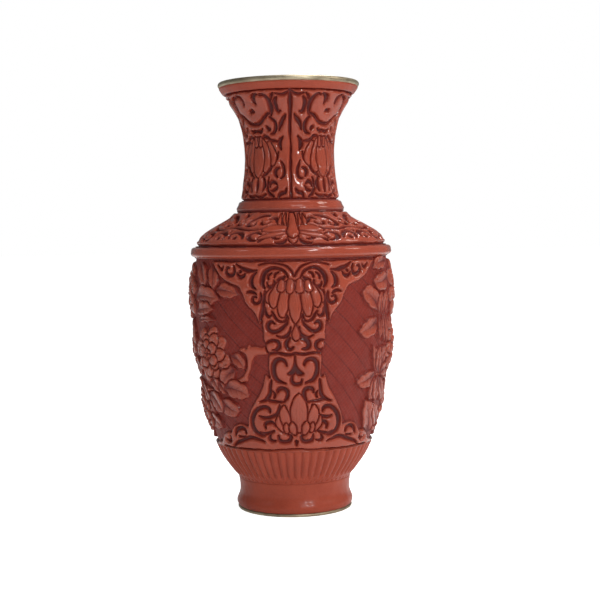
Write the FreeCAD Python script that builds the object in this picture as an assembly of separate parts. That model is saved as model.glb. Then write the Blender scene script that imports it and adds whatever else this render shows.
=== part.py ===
import FreeCAD, Part
import math
import os

# Carved red lacquer vase on a spun copper body.
#
# The vase stands on z = 0 and is built about +Z. A collar, three spun shells and a flat plate,
# all copper, are brazed edge to edge into the vessel. Brass rings finish its mouth and foot,
# enamel lines it inside and underneath, and lacquer covers the outside: a dark ground coat, and
# on it a red coat that is cut into bands, scroll strips and peony reliefs.
#
# The outline below is the top face of the red coat. Every other layer is that outline set in by
# a depth, so neighbouring layers share their faces exactly. Sizes are in millimetres.

# Driving sizes
HEIGHT = 255.4
MOUTH_RADIUS = 42.0
LACQUER = 3.0            # full lacquer build-up on the copper
GROUND_COAT = 1.2        # dark coat that stays under the carving
COPPER = 1.0             # wall of the spun shells
ENAMEL = 0.35
MOUTH_RIM_HEIGHT = 2.9   # brass ring on the mouth
FOOT_RIM_HEIGHT = 1.9    # brass ring under the foot
FOOT_RIM_RADIUS = 34.6
RIM_ROUNDING = 0.8
FOOT_BORE_RADIUS = 29.2  # inside of the foot collar
PLATE_TOP = 17.2         # upper face of the floor plate
PLATE = 1.2
RING_PROUD = 1.9         # how far the shoulder ring stands out of the outline
NECK_RING_PROUD = 0.5
PEONY_PROUD = 2.2        # the peonies are the highest carving

# Depths of the layer faces below the outline
GROUND_FACE = LACQUER - GROUND_COAT
COPPER_FACE = LACQUER
COPPER_INSIDE = LACQUER + COPPER
ENAMEL_INSIDE = LACQUER + COPPER + ENAMEL

# Outline stations as (radius, height). The foot flares out, the belly swells up to the shoulder
# ring, and the shoulder sweeps in to the waisted neck.
FOOT_TOP = (33.9, 19.0)
SHOULDER_EDGE = (58.0, 158.6)
FOOT_STATIONS = [(34.3, FOOT_RIM_HEIGHT), (35.1, 4.6), (33.7, 9.0), (33.2, 13.5), FOOT_TOP]
BELLY_STATIONS = [
    FOOT_TOP, (38.0, 24.6), (43.2, 32.0), (47.5, 40.8), (51.4, 54.0), (56.4, 76.0),
    (59.5, 98.0), (60.5, 118.0), (60.2, 135.0), (58.9, 151.6), SHOULDER_EDGE,
]
LIP_START = (38.9, 247.8)
UPPER_STATIONS = [
    SHOULDER_EDGE, (54.9, 163.6), (48.9, 168.3), (40.5, 173.1), (32.9, 179.4), (31.0, 182.2),
    (29.9, 185.6), (28.3, 194.8), (27.1, 206.0), (27.1, 217.0), (28.4, 226.8), (31.3, 235.6),
    (36.0, 243.5), LIP_START, (MOUTH_RADIUS, HEIGHT - MOUTH_RIM_HEIGHT),
]

# Zones, as the numbers of their first and last stations
FOOT = (0, 4)
FLUTES = (0, 3)
BELLY = (3, 9)
SHOULDER_RING = (9, 10)
SHOULDER = (0, 4)
NECK_RING_LOW = (4, 5)   # the shoulder and neck shells meet behind the middle of the neck ring
NECK_RING_HIGH = (5, 6)
NECK = (6, 13)
LIP = (13, 14)
BELLY_SHELL = [FLUTES, BELLY, SHOULDER_RING]
SHOULDER_SHELL = [SHOULDER, NECK_RING_LOW]
NECK_SHELL = [NECK_RING_HIGH, NECK, LIP]

# Edge of a scroll strip from its top down, as (half width, height) seen square on
STRIP_EDGE = [
    (46.0, 150.8), (41.0, 138.5), (27.0, 134.0), (19.0, 122.0), (15.5, 108.0), (14.6, 92.0),
    (17.0, 80.0), (24.5, 64.0), (26.0, 54.5), (38.5, 54.0), (40.0, 41.6),
]
# A peony relief's rounded outline, as (sideways, height) seen square on
PEONY_OUTLINE = [
    (-47.0, 112.0), (-38.0, 138.0), (0.0, 148.8), (38.0, 139.0), (47.0, 112.0), (44.0, 82.0),
    (29.0, 60.0), (0.0, 54.0), (-30.0, 61.0), (-45.0, 84.0),
]

FRONT = FreeCAD.Vector(0, -1, 0)
LEFT = FreeCAD.Vector(-1, 0, 0)


def point(r, z):
    """A point of the meridian half-plane."""
    return FreeCAD.Vector(r, 0, z)


class Line:
    """A smooth run of the outline, which can be set in to any depth.

    Each station moves in square to the outline, by the depth. first_in and last_in are used in
    its place at the two ends, so that lines which meet at a corner stay joined at every depth.
    """

    def __init__(self, stations, first_in, last_in):
        self.stations = [point(r, z) for r, z in stations]
        curve = Part.BSplineCurve()
        curve.interpolate(Points=self.stations)
        self.tangents = [curve.tangent(curve.parameter(s))[0] for s in self.stations]
        self.inwards = [FreeCAD.Vector(-t.z, 0, t.x) for t in self.tangents]
        self.inwards[0] = first_in
        self.inwards[-1] = last_in

    def at(self, station, depth):
        return self.stations[station] + self.inwards[station] * depth

    def edge(self, zone, depth):
        """The outline over one zone, set in by depth."""
        first, last = zone
        curve = Part.BSplineCurve()
        curve.interpolate(
            Points=[self.at(i, depth) for i in range(first, last + 1)],
            InitialTangent=self.tangents[first],
            FinalTangent=self.tangents[last],
        )
        return curve.toShape()

    def ring(self, zones, outer, inner):
        """The layer between two depths over neighbouring zones, as a solid of revolution."""
        first, last = zones[0][0], zones[-1][1]
        edges = [self.edge(zone, depth) for zone in zones for depth in (outer, inner)]
        edges += chain([self.at(first, outer), self.at(first, inner)])
        edges += chain([self.at(last, outer), self.at(last, inner)])
        return revolve(edges)

    def moulding(self, zones, proud):
        """A plain band of full depth, whose face bows out past the outline."""
        first, last = zones[0][0], zones[-1][1]
        low, high = self.at(first, -proud / 4), self.at(last, -proud / 4)
        crown = (self.at(first, -proud) + self.at(last, -proud)) * 0.5
        edges = [Part.Arc(low, crown, high).toShape()]
        edges += [self.edge(zone, COPPER_FACE) for zone in zones]
        edges += chain([low, self.at(first, COPPER_FACE)])
        edges += chain([high, self.at(last, COPPER_FACE)])
        return revolve(edges)


def chain(corners):
    """Straight edges from corner to corner, left open."""
    return [Part.LineSegment(a, b).toShape() for a, b in zip(corners, corners[1:])]


def revolve(edges):
    """The solid swept by a closed outline about the vase's axis."""
    face = Part.Face(Part.Wire(Part.__sortEdges__(edges)))
    return face.revolve(FreeCAD.Vector(0, 0, 0), FreeCAD.Vector(0, 0, 1), 360)


# At the top of the foot the layers run out level with the collar's bore, at the shoulder edge
# they run along the mitre of the belly and the shoulder, and at the two ends they are cut level.
FOOT_TOP_IN = FreeCAD.Vector((FOOT_BORE_RADIUS - FOOT_TOP[0]) / COPPER_INSIDE, 0, 0.25)
SHOULDER_EDGE_IN = FreeCAD.Vector(-0.99, 0, -0.42)
LIP_RISE = HEIGHT - MOUTH_RIM_HEIGHT - LIP_START[1]
LIP_SLANT = math.hypot(MOUTH_RADIUS - LIP_START[0], LIP_RISE) / LIP_RISE

foot = Line(FOOT_STATIONS, FreeCAD.Vector(-1, 0, 0), FOOT_TOP_IN)
belly = Line(BELLY_STATIONS, FOOT_TOP_IN, SHOULDER_EDGE_IN)
upper = Line(UPPER_STATIONS, SHOULDER_EDGE_IN, FreeCAD.Vector(-LIP_SLANT, 0, 0))


def rim_ring(inner, outer, low, high):
    """A flat brass ring with a rounded outer edge."""
    shoulder = outer - RIM_ROUNDING
    nose = Part.Arc(point(shoulder, high), point(outer, (low + high) / 2), point(shoulder, low))
    flats = chain([point(shoulder, low), point(inner, low), point(inner, high),
                   point(shoulder, high)])
    return revolve(flats + [nose.toShape()])


def foot_rim_ring():
    return rim_ring(FOOT_BORE_RADIUS, FOOT_RIM_RADIUS, 0.0, FOOT_RIM_HEIGHT)


def mouth_rim_ring():
    bore = upper.at(LIP[1], ENAMEL_INSIDE).x
    return rim_ring(bore, MOUTH_RADIUS + 0.3, HEIGHT - MOUTH_RIM_HEIGHT, HEIGHT)


def foot_collar():
    """The copper foot: flared outside, with a straight bore."""
    walls = chain([
        foot.at(FOOT[1], COPPER_FACE), foot.at(FOOT[1], COPPER_INSIDE),
        point(FOOT_BORE_RADIUS, FOOT_RIM_HEIGHT), foot.at(FOOT[0], COPPER_FACE),
    ])
    return revolve([foot.edge(FOOT, COPPER_FACE)] + walls)


def base_plate():
    return Part.makeCylinder(FOOT_BORE_RADIUS, PLATE, FreeCAD.Vector(0, 0, PLATE_TOP - PLATE))


def lining_enamel():
    """Enamel over the floor plate, and up the inside of every shell to the mouth."""
    wall = FOOT_BORE_RADIUS - ENAMEL
    turn = belly.at(0, ENAMEL_INSIDE)
    edges = chain([
        turn, point(wall, turn.z - ENAMEL), point(wall, PLATE_TOP + ENAMEL),
        point(0, PLATE_TOP + ENAMEL), point(0, PLATE_TOP), point(FOOT_BORE_RADIUS, PLATE_TOP),
        belly.at(0, COPPER_INSIDE),
    ])
    for depth in (COPPER_INSIDE, ENAMEL_INSIDE):
        edges += [belly.edge(zone, depth) for zone in BELLY_SHELL]
        edges += [upper.edge(zone, depth) for zone in SHOULDER_SHELL + NECK_SHELL]
    edges += chain([upper.at(LIP[1], COPPER_INSIDE), upper.at(LIP[1], ENAMEL_INSIDE)])
    return revolve(edges)


def base_enamel():
    """Enamel under the floor plate and down the collar's bore, short of the brass ring."""
    low = FOOT_RIM_HEIGHT + 1.1
    under = PLATE_TOP - PLATE
    wall = FOOT_BORE_RADIUS - ENAMEL
    return revolve(chain([
        point(0, under), point(FOOT_BORE_RADIUS, under), point(FOOT_BORE_RADIUS, low),
        point(wall, low), point(wall, under - ENAMEL), point(0, under - ENAMEL), point(0, under),
    ]))


def cut_coat(wire_edges, along, proud):
    """The belly's red coat inside an outline that is seen from one side."""
    face = Part.Face(Part.Wire(wire_edges))
    coat = belly.ring([BELLY], -proud, GROUND_FACE)
    return coat.common(face.extrude(along * 2 * MOUTH_RADIUS)).Solids[0]


def seen_from(along, outline):
    """Corners of an outline in the upright plane that faces a direction."""
    across = FreeCAD.Vector(-along.y, along.x, 0)
    return [across * sideways + FreeCAD.Vector(0, 0, z) for sideways, z in outline]


def scroll_strip(along):
    other_edge = [(-half, z) for half, z in reversed(STRIP_EDGE)]
    corners = seen_from(along, STRIP_EDGE + other_edge)
    return cut_coat(chain(corners + corners[:1]), along, 0)


def peony_relief(along):
    curve = Part.BSplineCurve()
    curve.interpolate(Points=seen_from(along, PEONY_OUTLINE), PeriodicFlag=True)
    return cut_coat([curve.toShape()], along, PEONY_PROUD)


PARTS = {
    "foot_rim_ring": foot_rim_ring,
    "foot_collar": foot_collar,
    "base_plate": base_plate,
    "belly_shell": lambda: belly.ring(BELLY_SHELL, COPPER_FACE, COPPER_INSIDE),
    "shoulder_shell": lambda: upper.ring(SHOULDER_SHELL, COPPER_FACE, COPPER_INSIDE),
    "neck_shell": lambda: upper.ring(NECK_SHELL, COPPER_FACE, COPPER_INSIDE),
    "mouth_rim_ring": mouth_rim_ring,
    "lining_enamel": lining_enamel,
    "base_enamel": base_enamel,
    "foot_band": lambda: foot.ring([FOOT], 0, COPPER_FACE),
    "fluted_band": lambda: belly.ring([FLUTES], 0, COPPER_FACE),
    "belly_ground_coat": lambda: belly.ring([BELLY], GROUND_FACE, COPPER_FACE),
    "front_scroll_strip": lambda: scroll_strip(FRONT),
    "back_scroll_strip": lambda: scroll_strip(-FRONT),
    "left_peony_relief": lambda: peony_relief(LEFT),
    "right_peony_relief": lambda: peony_relief(-LEFT),
    "shoulder_ring_band": lambda: belly.moulding([SHOULDER_RING], RING_PROUD),
    "shoulder_ground_coat": lambda: upper.ring([SHOULDER], GROUND_FACE, COPPER_FACE),
    "shoulder_relief": lambda: upper.ring([SHOULDER], 0, GROUND_FACE),
    "neck_ring_band": lambda: upper.moulding([NECK_RING_LOW, NECK_RING_HIGH], NECK_RING_PROUD),
    "neck_ground_coat": lambda: upper.ring([NECK], GROUND_FACE, COPPER_FACE),
    "neck_relief": lambda: upper.ring([NECK], 0, GROUND_FACE),
    "lip_band": lambda: upper.ring([LIP], 0, COPPER_FACE),
}


def main():
    os.makedirs("parts", exist_ok=True)
    for name, make in PARTS.items():
        solid = make()
        print(f"{name:22s} {solid.ShapeType} valid {solid.isValid()}  {solid.Volume:10.1f} mm3")
        solid.exportStep(f"parts/{name}.step")


main()
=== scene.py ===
"""Looks of the carved lacquer vase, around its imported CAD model.

Every lacquer zone is a closed shell whose outer face is carved: the zone is unrolled, its motifs
are drawn there as strokes, and the distance to the nearest stroke edge gives the relief. Lengths
in the carving are millimetres; x runs round the vase and y up it.
"""
import math

import bpy
import numpy as np
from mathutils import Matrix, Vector


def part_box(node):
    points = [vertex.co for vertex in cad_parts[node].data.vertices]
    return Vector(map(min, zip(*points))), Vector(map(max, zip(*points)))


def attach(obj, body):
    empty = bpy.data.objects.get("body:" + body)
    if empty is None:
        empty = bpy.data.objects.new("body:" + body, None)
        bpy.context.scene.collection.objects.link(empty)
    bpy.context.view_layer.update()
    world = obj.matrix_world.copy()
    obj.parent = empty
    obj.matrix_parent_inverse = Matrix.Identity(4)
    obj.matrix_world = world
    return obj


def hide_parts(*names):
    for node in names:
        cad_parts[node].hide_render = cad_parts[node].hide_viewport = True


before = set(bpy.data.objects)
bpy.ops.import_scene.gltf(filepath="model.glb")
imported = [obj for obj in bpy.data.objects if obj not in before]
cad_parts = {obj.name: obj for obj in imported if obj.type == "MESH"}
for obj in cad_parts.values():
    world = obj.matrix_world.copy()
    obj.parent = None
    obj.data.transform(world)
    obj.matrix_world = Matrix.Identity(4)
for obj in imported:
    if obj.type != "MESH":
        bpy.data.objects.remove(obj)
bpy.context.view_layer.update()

MM = 0.001
SPACING = 0.37  # grid of the carved faces
LACQUER = 3.0  # coat on the copper
CARVED_DEPTH = 2.3
FLOOR = 0.25  # share of the relief at which a wall meets the floor
FRONT = math.radians(1.7)  # how far round from the front the carving's middle is
REACH = 4.0  # how far from its edge a stroke shapes the lacquer
CORNER_CUT = 1.0  # most that is cut off a drawn corner's sides
STRIP_WIDEN = 0.16  # added to each side of a strip's channels as drawn
REPEAT_WIDEN = 0.15  # the same on the neck and the shoulder


def spline(knots, values, x):
    """Natural cubic spline through the values at the knots."""
    h = np.diff(knots)
    count = len(knots)
    left = np.eye(count)
    right = np.zeros(count)
    slope = np.diff(values) / h
    for i in range(1, count - 1):
        left[i, i - 1:i + 2] = h[i - 1], 2 * (h[i - 1] + h[i]), h[i]
        right[i] = 6 * (slope[i] - slope[i - 1])
    bend = np.linalg.solve(left, right)
    i = np.clip(np.searchsorted(knots, x) - 1, 0, count - 2)
    after, before = x - knots[i], knots[i + 1] - x
    curve = (bend[i] * before**3 + bend[i + 1] * after**3) / (6 * h[i])
    start = values[i] / h[i] - bend[i] * h[i] / 6
    end = values[i + 1] / h[i] - bend[i + 1] * h[i] / 6
    return curve + start * before + end * after


def smooth_path(points, step):
    """Points of a smooth path through given points; every column is carried along."""
    points = np.array(points, float)
    lengths = np.hypot(*np.diff(points[:, :2], axis=0).T)
    knots = np.concatenate([[0], np.cumsum(lengths)])
    count = max(int(knots[-1] / step), 2 * len(points))
    x = np.linspace(0, knots[-1], count)
    return np.stack([spline(knots, column, x) for column in points.T], axis=1)


class Outline:
    """A run of the outline, against arc length s from its lower end."""

    def __init__(self, stations):
        self.stations = stations
        path = smooth_path(stations, 0.1)
        self.r, self.z = path.T
        self.s = np.concatenate([[0], np.cumsum(np.hypot(np.diff(self.r), np.diff(self.z)))])
        slope_r, slope_z = np.gradient(self.r, self.s), np.gradient(self.z, self.s)
        size = np.hypot(slope_r, slope_z)
        self.normal_r, self.normal_z = slope_z / size, -slope_r / size

    def radius(self, s):
        return np.interp(s, self.s, self.r)

    def height(self, s):
        return np.interp(s, self.s, self.z)

    def normal(self, s):
        return np.interp(s, self.s, self.normal_r), np.interp(s, self.s, self.normal_z)

    def s_at(self, index):
        """Arc length at one of the stations."""
        r, z = self.stations[index]
        return self.s[np.argmin((self.r - r) ** 2 + (self.z - z) ** 2)]


# Outlines of the lacquer, as (radius, height)
FOOT = Outline([
    (34.3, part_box("foot_band")[0].z / MM), (35.1, 4.6), (33.7, 9), (33.2, 13.5), (33.9, 19),
])
BELLY = Outline([
    (33.9, 19), (38, 24.6), (43.2, 32), (47.5, 40.8), (51.4, 54), (56.4, 76),
    (59.5, 98), (60.5, 118), (60.2, 135), (58.9, 151.6), (58, 158.6),
])
UPPER = Outline([
    (58, 158.6), (54.9, 163.6), (48.9, 168.3), (40.5, 173.1), (32.9, 179.4), (31, 182.2),
    (29.9, 185.6), (28.3, 194.8), (27.1, 206), (27.1, 217), (28.4, 226.8), (31.3, 235.6),
    (36, 243.5), (38.9, 247.8), (42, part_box("lip_band")[1].z / MM),
])


def wander(turn, y, size, phase=0.0):
    """Smooth unevenness of hand work, about size high. turn is the angle round the vase."""
    wave = np.sin(13 * turn + 1.3 + phase) * np.cos(y * 0.19 + 0.4 + phase)
    wave += np.sin(24 * turn - y * 0.33 + 2.1 * phase)
    return size * (0.5 * wave + 0.3 * np.sin(47 * turn + y * 0.71 + phase))


def dome(t):
    """Quarter-round rise from 0 to 1."""
    t = np.clip(t, 0, 1)
    return np.sqrt(1 - (1 - t) ** 2)


def beside(x, y, start, end):
    """For places near an edge: the share of it passed, and how far off it they are."""
    ax, ay = start[:2]
    dx, dy = end[0] - ax, end[1] - ay
    share = np.clip(((x - ax) * dx + (y - ay) * dy) / (dx * dx + dy * dy + 1e-9), 0, 1)
    return share, np.hypot(x - ax - share * dx, y - ay - share * dy)


class Carving:
    """Relief on an unrolled zone.

    inside is the distance from the nearest cut edge into the uncut lacquer, below zero in a cut.
    mound is how far the surface under the cuts swells, lift how a petal slopes towards its root,
    and vein a shallow line's share of depth.
    """

    def __init__(self, x, y, widen=STRIP_WIDEN):
        self.widen = widen
        self.x = x.ravel()
        self.y = y.ravel()
        self.inside = np.full(self.x.shape, -REACH)
        self.mound = np.zeros(self.x.shape)
        self.lift = np.zeros(self.x.shape)
        self.vein = np.zeros(self.x.shape)

    def depth_in(self, points, x, margin=REACH):
        """Places near a stroke of (x, y, half width) points, and how deep inside it they are."""
        path = smooth_path(points, 0.7)
        wide = margin + path[:, 2].max()
        low, high = path.min(axis=0) - wide, path.max(axis=0) + wide
        close = (x > low[0]) & (x < high[0]) & (self.y > low[1]) & (self.y < high[1])
        at = np.flatnonzero(close)
        depth = np.full(at.shape, -1e3)
        for start, end in zip(path, path[1:]):
            share, gone = beside(x[at], self.y[at], start, end)
            depth = np.maximum(depth, start[2] + share * (end[2] - start[2]) - gone)
        return at, depth

    def add(self, points, x, gap=0.45, root=None, reach=1.0, drop=0.0):
        """Leave a stroke standing, with a clear gap round it where it lies on older work.

        With a root it slopes down by drop towards that place, from reach away. Returns where
        it lies.
        """
        at, depth = self.depth_in(points, x)
        self.inside[at] = np.maximum(depth, np.minimum(self.inside[at], -depth - gap))
        on = at[depth > -0.5 * gap]
        self.lift[on] = 0
        self.vein[on] = 0
        if root is not None:
            gone = np.hypot(x[on] - root[0], self.y[on] - root[1])
            self.lift[on] = -drop * np.clip(1 - gone / reach, 0, 1)
        return on

    def cut(self, points, x):
        at, depth = self.depth_in(points, x)
        self.inside[at] = np.minimum(self.inside[at], -depth - self.widen)

    def engrave(self, points, x):
        """A shallow line."""
        at, depth = self.depth_in(points, x, 0.5)
        self.vein[at] = np.maximum(self.vein[at], np.clip(0.5 + depth / 0.5, 0, 1))

    def border(self, top, bottom, width):
        """Plain channels along the zone's two edges."""
        for level in (top, bottom):
            self.inside = np.minimum(self.inside, np.abs(self.y - level) - width)

    def plate(self, corners, x):
        """Leave a whole outline of (x, y) corners standing, and say how far inside it is."""
        corners = rounded(np.array(corners, float))
        gone = np.full(x.shape, 1e3)
        within = np.zeros(x.shape, bool)
        for start, end in zip(corners, np.roll(corners, -1, axis=0)):
            gone = np.minimum(gone, beside(x, self.y, start, end)[1])
            (ax, ay), (bx, by) = start, end
            crosses = (ay > self.y) != (by > self.y)
            within ^= crosses & (x < ax + (self.y - ay) / (by - ay + 1e-12) * (bx - ax))
        inside = np.where(within, gone, -gone)
        self.inside = np.maximum(self.inside, inside)
        return inside


def rounded(corners):
    """A closed outline with its corners cut off twice, by at most CORNER_CUT, to leave it smooth."""
    for _ in range(2):
        edge = np.roll(corners, -1, axis=0) - corners
        length = np.linalg.norm(edge, axis=1, keepdims=True)
        share = np.minimum(0.25, CORNER_CUT / np.maximum(length, 1e-6))
        corners = np.stack([corners + share * edge, corners + (1 - share) * edge], axis=1)
        corners = corners.reshape(-1, 2)
    return corners


# Half of a scroll strip's outline, from the middle of its top edge round to its bottom edge
STRIP_OUTLINE = [
    (-4, 150.4), (56, 150.4), (53.4, 149.4), (50.8, 146.4), (47, 142.2), (42.5, 139.2), (37, 137.4),
    (33, 136.2), (31.6, 133.6), (29.8, 131), (28.9, 127.6), (26.6, 124.6), (23.4, 122.2), (21.8, 119),
    (20.4, 114.6), (19.2, 117.4), (18.6, 118.4), (18.3, 113.5), (17.5, 110), (18, 107), (16.8, 104.2),
    (16.9, 101.6), (15.6, 99.2), (14.2, 98.3), (15.3, 97.2), (15.4, 91.6), (14.9, 87.6), (14.4, 84.6),
    (15.6, 84.6), (17.4, 87), (18.3, 82.4), (19.8, 78.4), (22.2, 74), (24.9, 69.8), (27.1, 65.4),
    (28.5, 61), (28.9, 57.2), (28.8, 55), (31, 56), (34.6, 56.8), (38.8, 55.6), (41.2, 52.6), (42.4, 49.9),
    (45.6, 50.8), (49.2, 49.6), (51.8, 46.4), (53, 43.8), (60, 42.6), (66, 40), (-4, 40),
]
# Channels of the same half, each a stroke of (x, y, half width)
STRIP_CUTS = {
    "arch": [(3.6, 141.4, 0.2), (4.8, 144, 0.5), (8, 146.2, 0.6), (12, 146.8, 0.7), (15.8, 145, 0.9),
        (18, 141.4, 1.15), (18.4, 137.8, 0.9), (17, 135.4, 0.3)],
    "crest": [(0.2, 142.2, 0.25), (1.6, 145, 0.3), (4.6, 147.8, 0.25), (9, 149.4, 0.2), (15, 149.6, 0.2),
        (20, 148.4, 0.2)],
    "curl_gap": [(5.2, 141.8, 0.3), (7.2, 140.2, 1), (9, 139.6, 0.7), (8.6, 138.2, 0.2)],
    "curl_top": [(8.6, 144.2, 0.2), (10.6, 143.3, 0.5), (11.2, 141.4, 0.25)],
    "curl_back": [(12.8, 144, 0.2), (14.8, 142.4, 0.5), (14.6, 140.6, 0.25)],
    "curl_hook": [(11.4, 139.6, 0.25), (11.3, 137.4, 0.7), (13.2, 135.9, 0.9), (15.3, 136.8, 0.6),
        (15.6, 138.8, 0.2)],
    "teardrop_side": [(21.8, 144.3, 0.3), (24, 142, 0.8), (25, 139.2, 1.15), (24.4, 136.6, 0.8),
        (22.6, 135.3, 0.25)],
    "flower_side": [(17, 134, 0.2), (15.8, 132.6, 0.45), (15, 131.4, 0.2)],
    "lip_slot": [(35, 149.2, 0.15), (31.5, 147, 0.7), (27.5, 145.6, 1), (24, 145.2, 0.5),
        (21.4, 145.6, 0.15)],
    "end_spiral": [(36.4, 148, 0.3), (35.9, 145, 0.8), (37.4, 142.7, 0.9), (40.2, 142.6, 0.95),
        (42, 144.8, 0.9), (41, 147.2, 0.5), (39.4, 147, 0.2)],
    "end_curl": [(29.2, 143.8, 0.3), (30.6, 142.1, 0.8), (33, 142, 0.8), (34.2, 143.8, 0.3)],
    "end_eye": [(32, 144.9, 0.6), (32.4, 144.6, 0.6)],
    "end_tail": [(44, 147.6, 0.25), (45.6, 146, 0.6), (47, 146.8, 0.5), (48.4, 148.6, 0.2)],
    "arm_gap": [(17.2, 133, 0.3), (17.9, 129.6, 0.7), (18.1, 125.6, 0.85), (18.9, 121.6, 0.9),
        (19.9, 117.8, 0.7)],
    "arm_spiral": [(19.6, 133, 0.25), (19.4, 130, 0.6), (20.4, 127.4, 0.65), (22.9, 126.8, 0.7),
        (24.6, 128.7, 0.65), (23.6, 130.9, 0.5), (21.9, 130.4, 0.25)],
    "arm_top": [(27.6, 133, 0.25), (26.2, 133.6, 0.5), (23.8, 133.2, 0.6), (22.2, 132.2, 0.2)],
    "scroll_hook": [(16.9, 124.4, 0.25), (16.6, 121.2, 0.8), (14.6, 119.6, 0.6), (13.2, 120.6, 0.2)],
    "c_scroll": [(11.4, 115.6, 0.3), (13.4, 116.6, 0.8), (15.2, 114.6, 0.95), (14.3, 111.8, 0.9),
        (11.4, 110.9, 0.85), (8.2, 112.4, 0.8), (5.4, 115, 0.6), (4.2, 117.4, 0.25)],
    "under_lotus": [(3.8, 118.6, 0.3), (4.6, 120.2, 0.5), (5.4, 117.6, 0.4), (8.6, 116.9, 0.35),
        (11, 119.2, 0.5), (13, 122.4, 0.3)],
    "under_scroll": [(2.6, 113.4, 0.25), (3, 110.4, 0.6), (4.8, 108.4, 0.9), (7.4, 107.6, 0.5),
        (10.5, 108.8, 0.2)],
    "seam": [(0, 98.7, 0.45), (4, 98, 0.6), (8, 98.5, 0.5), (12, 98.9, 0.45), (16, 98, 0.6)],
    "big_scroll": [(5, 91.8, 0.3), (6.4, 94.6, 0.75), (9.2, 95.4, 0.95), (11.9, 93.4, 1.15),
        (12.8, 89.4, 1.15), (11.9, 85.4, 1), (9.2, 82.6, 0.75), (5.8, 81.4, 0.25)],
    "heart": [(0, 97, 0.3), (0, 93, 0.5), (0.5, 89.6, 1.1), (2.3, 87.2, 1.3), (4, 86.8, 0.4)],
    "arm_slit": [(14, 83.4, 0.3), (14.5, 79, 0.7), (14.8, 75.5, 0.85), (16.4, 72.6, 0.9), (19.2, 71, 0.5),
        (21, 70.6, 0.15)],
    "waist": [(6.6, 70.5, 0.2), (10, 70.7, 0.5), (13.4, 71, 0.6), (16.6, 71.8, 0.6)],
    "small_curl": [(10.4, 75.8, 0.25), (9.7, 77.9, 0.75), (7.4, 78.6, 0.85), (5.3, 77.4, 0.85),
        (4.7, 74.8, 0.85), (5.5, 72.2, 0.7), (6.4, 70.7, 0.3)],
    "small_hook": [(12.9, 76.8, 0.2), (11.8, 74.7, 0.5), (12.6, 72.9, 0.3)],
    "arm_scroll": [(15.3, 64.4, 0.25), (16.2, 66.7, 0.85), (19, 67.3, 0.95), (22.5, 65.9, 1.05),
        (25.2, 62.5, 1.2), (26.1, 58, 1.2), (24.9, 53.6, 1.1), (21.6, 50.8, 0.8), (18.4, 50.2, 0.25)],
    "scroll_gap": [(9.6, 68.8, 0.25), (9.9, 65.6, 0.8), (11.8, 63, 0.85), (15, 61.6, 0.75),
        (18.6, 61, 0.7), (21.4, 61.9, 0.25)],
    "low_curl": [(11.8, 56.2, 0.25), (13.3, 58, 0.7), (16.2, 58.4, 0.85), (18.4, 57, 0.7),
        (17.8, 54.7, 0.25)],
    "low_gap": [(12.6, 53.2, 0.25), (15.6, 51.9, 0.65), (19.4, 51.5, 0.6), (21.4, 52.4, 0.3)],
    "foot_curl": [(10.2, 50.7, 0.25), (9.6, 48, 0.75), (6.6, 46.7, 0.85), (3.6, 47.8, 0.85), (3, 50, 0.6),
        (4.7, 51.2, 0.25)],
    "foot_hook": [(14.7, 50.8, 0.25), (15.4, 48.8, 0.65), (13.4, 47.2, 0.55), (11.8, 47.7, 0.2)],
    "notch": [(0, 47, 0.7), (0, 44.6, 0.3)],
    "leaf_top": [(18.6, 46.4, 0.25), (22.6, 47.9, 0.6), (27, 48.7, 0.85), (30.5, 47.5, 0.85),
        (34.4, 46, 0.85), (38.2, 44.6, 0.7), (41, 42.4, 0.35)],
    "corner_curl": [(30.6, 51, 0.3), (31.6, 53.4, 0.75), (34.4, 54.3, 0.9), (37.6, 52.7, 0.9),
        (38.7, 49.8, 0.5)],
    "corner_low": [(31, 49, 0.3), (33.5, 48.6, 0.5), (36, 48.9, 0.3)],
    "far_curl": [(43.4, 48.3, 0.25), (43, 46.2, 0.65), (45, 44.9, 0.65), (47.6, 45.9, 0.25)],
    "base_line": [(0, 42.6, 0.1), (8, 41.9, 0.06), (20, 41.6, 0.06), (36, 41.3, 0.06), (50, 41.2, 0.06)],
}
# The row of curls over the seam doesn't mirror: its hooks all turn one way
ROW_CURLS = [
    [(-16.4, 104.8, 0.35), (-13.4, 106, 0.6), (-10.2, 105.4, 0.9), (-9, 102.6, 0.9), (-10.6, 100.4, 0.7),
     (-13, 100.6, 0.25)],
    [(-2.6, 107.4, 0.35), (-4.6, 105, 0.9), (-4.6, 102.2, 0.9), (-2.6, 100.9, 0.6), (-1.2, 102.4, 0.2)],
    [(3.4, 107, 0.6), (6, 106.4, 1.2), (8, 103.6, 1.2), (6.8, 101.2, 0.8), (4.4, 101.2, 0.3)],
    [(17.4, 105.6, 0.35), (14.2, 105.8, 0.5), (12.2, 104, 0.8), (12.4, 101.4, 0.7), (14.6, 100.2, 0.6),
     (16.2, 101.6, 0.25)],
    [(-2, 85.4, 0.3), (-2.2, 82.4, 0.75), (0.2, 80.8, 0.8), (3, 81.6, 0.6), (3.6, 83.6, 0.25)],
]
HANGING_LOTUS = [
    [(11.4, 136, 0.9), (14.2, 132.4, 1.8), (15.4, 129.4, 1.7), (15.7, 128, 0.9)],
    [(9.4, 137, 1.5), (11.4, 132, 2.6), (12.4, 128, 2.7), (12.7, 126, 1.6)],
    [(4.8, 137.6, 1.6), (6.4, 130, 2.9), (7.2, 123.6, 2.9), (7.4, 121, 1.9)],
    [(0, 137.6, 2), (0, 129, 3.2), (0, 121.6, 3.2), (0, 117.8, 1.8), (0, 115.8, 0.5)],
    [(7.4, 138.4, 1.7), (8, 135.2, 2)],
    [(2.6, 139, 1.9), (2.8, 134.8, 2.4)],
]
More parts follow.
